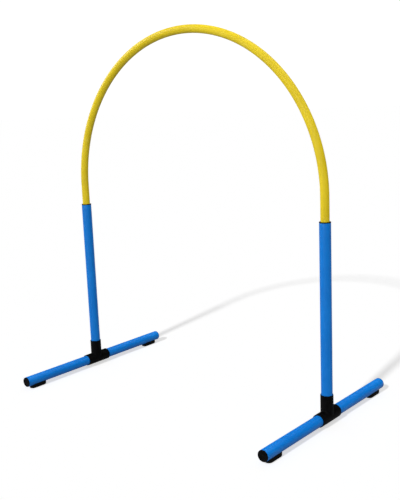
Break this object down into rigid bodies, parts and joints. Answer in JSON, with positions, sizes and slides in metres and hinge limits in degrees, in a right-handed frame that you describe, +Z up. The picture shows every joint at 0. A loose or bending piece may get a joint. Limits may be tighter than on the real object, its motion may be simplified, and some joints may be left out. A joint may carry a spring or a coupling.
{
  "type": "agility hurdle",
  "caption": "Free-standing dog agility hoop: a bent tube arch plugged into two uprights, each on a tee with a split floor tube, end plugs and rubber feet.",
  "frame": {"origin": "on the floor, midway between the two uprights and midway between the front and rear end caps", "axes": "+X from the left upright to the right one, +Y from front to rear along the floor tubes, +Z up"},
  "size_m": [0.9148, 0.58, 1.0495],
  "materials": {
    "tube_blue": "satin extruded tube",
    "arch_yellow": "satin extruded tube",
    "fitting_black": "fine-textured moulding",
    "rubber_black": "matte moulded rubber",
    "screw_steel": "zinc plated"
  },
  "bodies": {
    "left_upright": {"left_upright_tube": "tube_blue", "left_arch_socket": "fitting_black"},
    "arch": {"arch_tube": "arch_yellow"},
    "right_upright": {"right_upright_tube": "tube_blue", "right_arch_socket": "fitting_black"},
    "left_foot": {"left_tee": "fitting_black"},
    "left_front_base_half": {"left_front_floor_tube": "tube_blue", "left_front_end_cap": "fitting_black", "left_front_rubber_foot": "rubber_black", "left_front_foot_screw": "screw_steel"},
    "left_rear_base_half": {"left_rear_floor_tube": "tube_blue", "left_rear_end_cap": "fitting_black", "left_rear_rubber_foot": "rubber_black", "left_rear_foot_screw": "screw_steel"},
    "right_foot": {"right_tee": "fitting_black"},
    "right_front_base_half": {"right_front_floor_tube": "tube_blue", "right_front_end_cap": "fitting_black", "right_front_rubber_foot": "rubber_black", "right_front_foot_screw": "screw_steel"},
    "right_rear_base_half": {"right_rear_floor_tube": "tube_blue", "right_rear_end_cap": "fitting_black", "right_rear_rubber_foot": "rubber_black", "right_rear_foot_screw": "screw_steel"}
  },
  "joints": [
    {"name": "arch_lift", "type": "slide", "parent": "left_upright", "child": "arch", "axis": [0, 0, 1], "range_m": [0, 0.085]},
    {"name": "arch_lift_right", "type": "slide", "parent": "arch", "child": "right_upright", "axis": [0, 0, -1], "range_m": [0, 0.085]},
    {"name": "left_foot_swivel", "type": "hinge", "parent": "left_upright", "child": "left_foot", "pos_m": [-0.44, 0, 0.06], "axis": [0, 0, 1], "continuous": true},
    {"name": "left_front_tube_pull", "type": "slide", "parent": "left_foot", "child": "left_front_base_half", "axis": [0, -1, 0], "range_m": [0, 0.04]},
    {"name": "left_rear_tube_pull", "type": "slide", "parent": "left_foot", "child": "left_rear_base_half", "axis": [0, 1, 0], "range_m": [0, 0.04]},
    {"name": "right_foot_swivel", "type": "hinge", "parent": "right_upright", "child": "right_foot", "pos_m": [0.44, 0, 0.06], "axis": [0, 0, 1], "continuous": true},
    {"name": "right_front_tube_pull", "type": "slide", "parent": "right_foot", "child": "right_front_base_half", "axis": [0, -1, 0], "range_m": [0, 0.04]},
    {"name": "right_rear_tube_pull", "type": "slide", "parent": "right_foot", "child": "right_rear_base_half", "axis": [0, 1, 0], "range_m": [0, 0.04]}
  ],
  "couplings": [
    {"joint": "arch_lift_right", "follows": "arch_lift", "ratio": 1}
  ]
}
